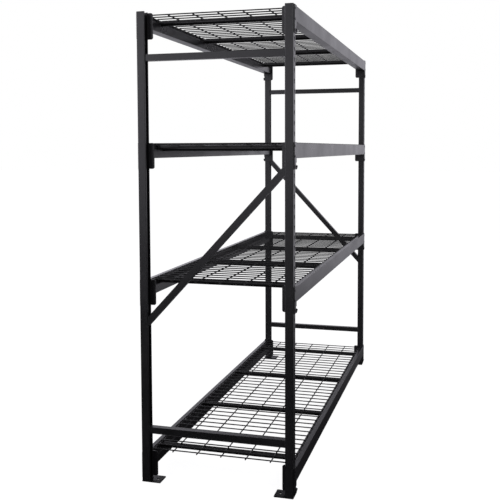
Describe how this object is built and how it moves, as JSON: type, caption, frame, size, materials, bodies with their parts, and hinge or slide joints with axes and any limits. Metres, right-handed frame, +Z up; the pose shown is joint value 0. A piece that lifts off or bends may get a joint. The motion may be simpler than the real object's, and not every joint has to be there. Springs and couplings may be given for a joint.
{
  "type": "boltless steel shelving",
  "caption": "Free-standing steel rack: welded slotted end frames, hook-in step beams, tube cross supports and lift-out wire decks.",
  "frame": {"origin": "on the floor, under the middle of the rack", "axes": "+X along the rack's length, towards its right end; +Y towards the rear; +Z up"},
  "size_m": [1.956, 0.6256, 1.829],
  "materials": {
    "frame": "fine-texture black powder coat",
    "beam": "satin black powder coat",
    "support": "satin black powder coat",
    "wire": "thick smooth black coat over welded wire",
    "stud": "black powder coat, worn bright on the contact edges"
  },
  "bodies": {
    "end_frames": {"upright_left_front": "frame", "foot_plate_left_front": "frame", "upright_left_rear": "frame", "foot_plate_left_rear": "frame", "top_tie_left": "frame", "low_tie_left": "frame", "diagonal_left": "frame", "upright_right_front": "frame", "foot_plate_right_front": "frame", "upright_right_rear": "frame", "foot_plate_right_rear": "frame", "top_tie_right": "frame", "low_tie_right": "frame", "diagonal_right": "frame"},
    "front_beam_1": {"beam_front_1": "beam", "brackets_front_1": "beam", "hook_studs_front_1": "stud"},
    "rear_beam_1": {"beam_rear_1": "beam", "brackets_rear_1": "beam", "hook_studs_rear_1": "stud"},
    "supports_1": {"support_1_1": "support", "support_1_2": "support", "support_1_3": "support", "support_1_4": "support"},
    "deck_1": {"wire_deck_1": "wire"},
    "front_beam_2": {"beam_front_2": "beam", "brackets_front_2": "beam", "hook_studs_front_2": "stud"},
    "rear_beam_2": {"beam_rear_2": "beam", "brackets_rear_2": "beam", "hook_studs_rear_2": "stud"},
    "supports_2": {"support_2_1": "support", "support_2_2": "support", "support_2_3": "support", "support_2_4": "support"},
    "deck_2": {"wire_deck_2": "wire"},
    "front_beam_3": {"beam_front_3": "beam", "brackets_front_3": "beam", "hook_studs_front_3": "stud"},
    "rear_beam_3": {"beam_rear_3": "beam", "brackets_rear_3": "beam", "hook_studs_rear_3": "stud"},
    "supports_3": {"support_3_1": "support", "support_3_2": "support", "support_3_3": "support", "support_3_4": "support"},
    "deck_3": {"wire_deck_3": "wire"},
    "front_beam_4": {"beam_front_4": "beam", "brackets_front_4": "beam", "hook_studs_front_4": "stud"},
    "rear_beam_4": {"beam_rear_4": "beam", "brackets_rear_4": "beam", "hook_studs_rear_4": "stud"},
    "supports_4": {"support_4_1": "support", "support_4_2": "support", "support_4_3": "support", "support_4_4": "support"},
    "deck_4": {"wire_deck_4": "wire"}
  },
  "joints": [
    {"name": "front_beam_unhook_1", "type": "slide", "parent": "end_frames", "child": "front_beam_1", "axis": [0, 0, 1], "range_m": [0, 0.0095]},
    {"name": "rear_beam_unhook_1", "type": "slide", "parent": "end_frames", "child": "rear_beam_1", "axis": [0, 0, 1], "range_m": [0, 0.0095]},
    {"name": "supports_lift_1", "type": "slide", "parent": "front_beam_1", "child": "supports_1", "axis": [0, 0, 1], "range_m": [0, 0.06]},
    {"name": "deck_lift_1", "type": "slide", "parent": "supports_1", "child": "deck_1", "axis": [0, 0, 1], "range_m": [0, 0.3]},
    {"name": "front_beam_unhook_2", "type": "slide", "parent": "end_frames", "child": "front_beam_2", "axis": [0, 0, 1], "range_m": [0, 0.0095]},
    {"name": "rear_beam_unhook_2", "type": "slide", "parent": "end_frames", "child": "rear_beam_2", "axis": [0, 0, 1], "range_m": [0, 0.0095]},
    {"name": "supports_lift_2", "type": "slide", "parent": "front_beam_2", "child": "supports_2", "axis": [0, 0, 1], "range_m": [0, 0.06]},
    {"name": "deck_lift_2", "type": "slide", "parent": "supports_2", "child": "deck_2", "axis": [0, 0, 1], "range_m": [0, 0.3]},
    {"name": "front_beam_unhook_3", "type": "slide", "parent": "end_frames", "child": "front_beam_3", "axis": [0, 0, 1], "range_m": [0, 0.0095]},
    {"name": "rear_beam_unhook_3", "type": "slide", "parent": "end_frames", "child": "rear_beam_3", "axis": [0, 0, 1], "range_m": [0, 0.0095]},
    {"name": "supports_lift_3", "type": "slide", "parent": "front_beam_3", "child": "supports_3", "axis": [0, 0, 1], "range_m": [0, 0.06]},
    {"name": "deck_lift_3", "type": "slide", "parent": "supports_3", "child": "deck_3", "axis": [0, 0, 1], "range_m": [0, 0.3]},
    {"name": "front_beam_unhook_4", "type": "slide", "parent": "end_frames", "child": "front_beam_4", "axis": [0, 0, 1], "range_m": [0, 0.0095]},
    {"name": "rear_beam_unhook_4", "type": "slide", "parent": "end_frames", "child": "rear_beam_4", "axis": [0, 0, 1], "range_m": [0, 0.0095]},
    {"name": "supports_lift_4", "type": "slide", "parent": "front_beam_4", "child": "supports_4", "axis": [0, 0, 1], "range_m": [0, 0.06]},
    {"name": "deck_lift_4", "type": "slide", "parent": "supports_4", "child": "deck_4", "axis": [0, 0, 1], "range_m": [0, 0.3]}
  ],
  "couplings": [
    {"joint": "rear_beam_unhook_1", "follows": "front_beam_unhook_1", "ratio": 1},
    {"joint": "rear_beam_unhook_2", "follows": "front_beam_unhook_2", "ratio": 1},
    {"joint": "rear_beam_unhook_3", "follows": "front_beam_unhook_3", "ratio": 1},
    {"joint": "rear_beam_unhook_4", "follows": "front_beam_unhook_4", "ratio": 1}
  ]
}
